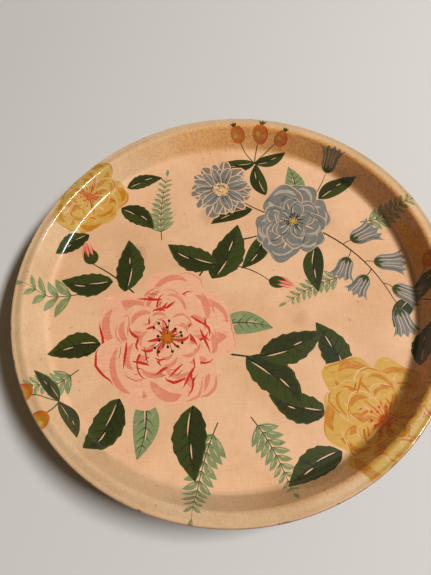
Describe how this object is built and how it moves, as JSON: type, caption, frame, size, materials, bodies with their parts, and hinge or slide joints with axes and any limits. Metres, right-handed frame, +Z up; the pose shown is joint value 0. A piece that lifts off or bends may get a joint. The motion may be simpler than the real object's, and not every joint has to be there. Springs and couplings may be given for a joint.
{
  "type": "folding tray table",
  "caption": "Low round tray table: a moulded tray with a printed face on nested steel leg frames that cross and fold flat beneath it.",
  "frame": {"origin": "centre of the tray on the surface that the folded table lies on", "axes": "+Z up through the tray's centre, +X right along the folded legs towards the pivots, +Y to the rear"},
  "size_m": [0.3999, 0.4, 0.0403],
  "materials": {
    "pressed_core": "brown pressed core, sealed at its edge",
    "printed_face": "floral printed cloth under clear gloss resin",
    "backing": "plain brown resin sheet, satin",
    "plated_steel": "bright plated steel",
    "spring_steel": "grey spring strip",
    "enamelled_rod": "black stove enamel",
    "foot_rubber": "matt moulded rubber",
    "nylon": "natural nylon"
  },
  "bodies": {
    "tray": {"tray_core": "pressed_core", "printed_cloth": "printed_face", "backing_sheet": "backing", "pivot_bracket_front": "plated_steel", "pivot_bracket_rear": "plated_steel", "bracket_screws": "plated_steel", "pivot_rivet_front": "plated_steel", "pivot_rivet_rear": "plated_steel", "bar_clip_front": "spring_steel", "bar_clip_rear": "spring_steel", "clip_screws": "plated_steel", "storage_catch": "spring_steel", "catch_screws": "plated_steel"},
    "outer_leg_frame": {"outer_frame": "enamelled_rod", "foot_sleeve_front": "foot_rubber", "foot_sleeve_rear": "foot_rubber", "crossing_rivet_front": "plated_steel", "crossing_rivet_rear": "plated_steel", "spacer_bush_front": "nylon", "spacer_bush_rear": "nylon"},
    "inner_leg_frame": {"inner_frame": "enamelled_rod", "stretcher": "enamelled_rod", "foot_cap_front": "foot_rubber", "foot_cap_rear": "foot_rubber"}
  },
  "joints": [
    {"name": "leg_fold", "type": "hinge", "parent": "tray", "child": "outer_leg_frame", "pos_m": [0.084, 0, 0.006], "axis": [0, -1, 0], "range_deg": [0, 50]},
    {"name": "leg_crossing", "type": "hinge", "parent": "outer_leg_frame", "child": "inner_leg_frame", "pos_m": [-0.036, 0, 0.006], "axis": [0, -1, 0], "range_deg": [-100, 0]}
  ],
  "couplings": [
    {"joint": "leg_crossing", "follows": "leg_fold", "ratio": -2}
  ]
}
